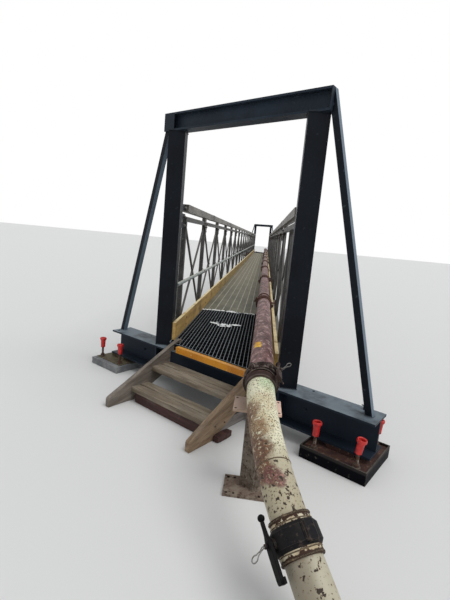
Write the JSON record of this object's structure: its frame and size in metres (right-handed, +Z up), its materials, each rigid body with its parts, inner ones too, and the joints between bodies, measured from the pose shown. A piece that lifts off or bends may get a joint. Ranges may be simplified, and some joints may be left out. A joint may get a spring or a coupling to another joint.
{
  "type": "pipe bridge",
  "caption": "Steel footbridge with latticed sides and skewed raking portals on anchored pads, timber end stairs and a clamped pipeline that bends down to the ground.",
  "frame": {"origin": "centre of the bounding box's underside, at ground level", "axes": "+Y along the bridge away from the near portal, +X to the right of someone walking that way, +Z up"},
  "size_m": [2.9494, 31.7884, 2.635],
  "materials": {
    "charcoal_paint": "weathered matt",
    "grey_steel": "weathered satin",
    "deck_paint": "worn matt",
    "dark_grating": "worn matt",
    "timber": "weathered",
    "stained_timber": "weathered",
    "toe_paint": "weathered matt",
    "amber_paint": "worn satin",
    "run_paint": "worn matt",
    "cream_paint": "chipped satin",
    "cast_black": "rough",
    "cap_plastic": "satin",
    "salmon_paint": "worn matt",
    "plinth_mortar": "rough",
    "rusty_fill": "rough",
    "bracket_rust": "rusty",
    "post_rust": "rusty",
    "stud_steel": "dull"
  },
  "bodies": {
    "bridge": {"near_base_beam": "charcoal_paint", "near_header": "charcoal_paint", "near_columns": "charcoal_paint", "near_braces": "charcoal_paint", "near_gussets": "charcoal_paint", "near_pad_left": "plinth_mortar", "near_pad_right": "charcoal_paint", "near_pad_fill": "rusty_fill", "near_anchor_studs": "stud_steel", "near_stud_caps": "cap_plastic", "near_nosing": "amber_paint", "near_grating": "dark_grating", "near_stringers": "timber", "near_treads": "timber", "near_stair_timbers": "stained_timber", "far_base_beam": "charcoal_paint", "far_header": "charcoal_paint", "far_columns": "charcoal_paint", "far_braces": "charcoal_paint", "far_gussets": "charcoal_paint", "far_pads": "charcoal_paint", "far_pad_fill": "rusty_fill", "far_anchor_studs": "stud_steel", "far_stud_caps": "cap_plastic", "far_nosing": "amber_paint", "far_grating": "dark_grating", "far_stringers": "timber", "far_treads": "timber", "far_stair_timbers": "stained_timber", "truss_left": "grey_steel", "truss_right": "grey_steel", "top_rails": "grey_steel", "mid_rail": "grey_steel", "truss_lugs": "charcoal_paint", "transoms": "charcoal_paint", "deck_panels": "deck_paint", "toe_boards": "toe_paint", "pipe_run": "run_paint", "run_couplings": "cast_black", "far_coupling": "cast_black", "pipe_brackets": "bracket_rust", "post_coupling": "cast_black", "cream_bend": "cream_paint", "front_coupling": "cast_black", "tail_pipe": "cream_paint", "post_lever": "cast_black", "lever_clips": "stud_steel", "pipe_post": "post_rust", "post_base_plate": "post_rust", "post_head_plate": "salmon_paint"},
    "front_lever": {"front_lever": "cast_black"}
  },
  "joints": [
    {"name": "front_lever_swing", "type": "hinge", "parent": "bridge", "child": "front_lever", "pos_m": [0.46878, -15.57056, 0.31661], "axis": [-0.877, -0.4805, -0.001], "range_deg": [0, 80]}
  ]
}
